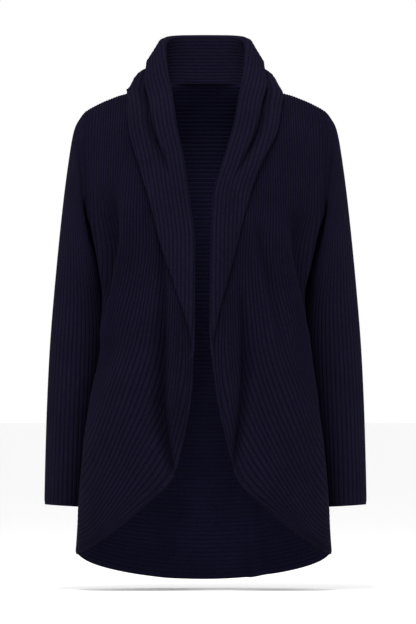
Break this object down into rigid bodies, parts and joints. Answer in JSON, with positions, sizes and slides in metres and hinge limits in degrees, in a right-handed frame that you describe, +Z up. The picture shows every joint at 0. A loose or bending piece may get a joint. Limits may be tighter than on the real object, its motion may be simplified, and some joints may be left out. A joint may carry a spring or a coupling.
{
  "type": "open-front cardigan",
  "caption": "Open-front rib knit cardigan, filled out as worn, with a shawl collar rolled into lapels, long straight sleeves and a curved hem that is longer behind.",
  "frame": {"origin": "level with the side of the neck, in the middle of the neck opening, where the wearer holds the garment", "axes": "+Z up the wearer, -Y out of the front, +X towards the wearer's left"},
  "size_m": [0.5392, 0.2938, 0.9066],
  "materials": {
    "back_knit": "matt dark navy wide rib knit",
    "front_left_knit": "matt dark navy wide rib knit",
    "front_right_knit": "matt dark navy wide rib knit",
    "sleeve_left_knit": "matt dark navy wide rib knit",
    "sleeve_right_knit": "matt dark navy wide rib knit",
    "collar_knit": "matt dark navy wide rib knit"
  },
  "bodies": {
    "root": {"back": "back_knit", "front_left": "front_left_knit", "front_right": "front_right_knit", "sleeve_left": "sleeve_left_knit", "sleeve_right": "sleeve_right_knit", "collar": "collar_knit"}
  },
  "joints": []
}
